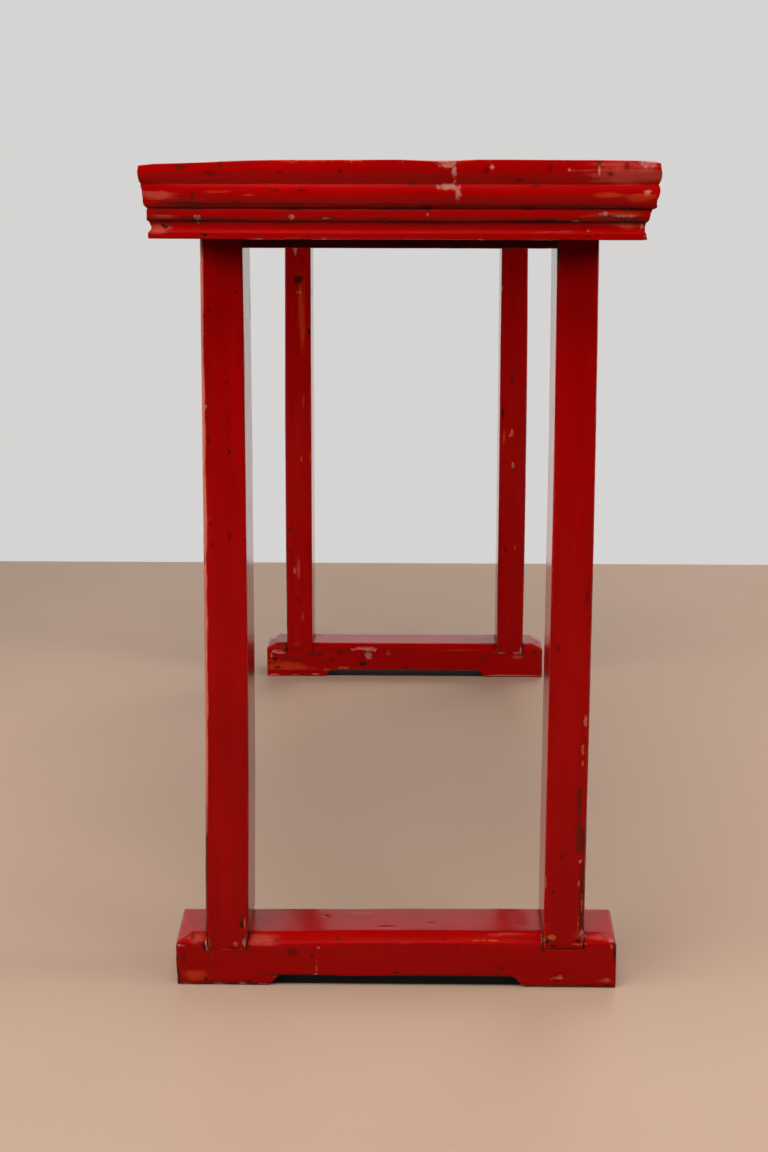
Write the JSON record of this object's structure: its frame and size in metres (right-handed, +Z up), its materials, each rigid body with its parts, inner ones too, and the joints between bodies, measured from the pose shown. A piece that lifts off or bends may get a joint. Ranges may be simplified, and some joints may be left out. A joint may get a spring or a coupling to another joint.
{
  "type": "altar table",
  "caption": "Long red lacquered altar table: mitred frame-and-panel top with a deep moulded edge, on square legs tenoned into arched foot rails at the ends.",
  "frame": {"origin": "on the floor, under the middle of the table top", "axes": "+Z up, +X along the length of the top, +Y from the front long side to the back long side"},
  "size_m": [1.61, 0.487, 0.85],
  "materials": {
    "moulding_lacquer": "glossy red lacquer on softwood, worn through at arrises",
    "panel_lacquer": "glossy red lacquer, fine cracks along the board joints",
    "frame_lacquer": "glossy red lacquer with chips and dark specks",
    "batten_wood": "bare planed wood, aged",
    "bamboo": "split bamboo",
    "wedge_wood": "bare hardwood"
  },
  "bodies": {
    "root": {"base_moulding_back": "moulding_lacquer", "base_moulding_front": "moulding_lacquer", "base_moulding_left": "moulding_lacquer", "base_moulding_right": "moulding_lacquer", "bead_strip_back": "moulding_lacquer", "bead_strip_front": "moulding_lacquer", "bead_strip_left": "moulding_lacquer", "bead_strip_right": "moulding_lacquer", "foot_rail_left": "frame_lacquer", "foot_rail_right": "frame_lacquer", "foot_wedges": "wedge_wood", "head_rail_left": "frame_lacquer", "head_rail_right": "frame_lacquer", "leg_back_left": "frame_lacquer", "leg_back_right": "frame_lacquer", "leg_front_left": "frame_lacquer", "leg_front_right": "frame_lacquer", "mitre_pins": "bamboo", "moulding_pins": "bamboo", "panel_batten_1": "batten_wood", "panel_batten_2": "batten_wood", "panel_batten_3": "batten_wood", "panel_batten_4": "batten_wood", "panel_board_back": "panel_lacquer", "panel_board_front": "panel_lacquer", "panel_board_middle": "panel_lacquer", "top_rail_back": "moulding_lacquer", "top_rail_front": "moulding_lacquer", "top_rail_left": "moulding_lacquer", "top_rail_right": "moulding_lacquer", "under_rail_back": "frame_lacquer", "under_rail_front": "frame_lacquer"}
  },
  "joints": []
}
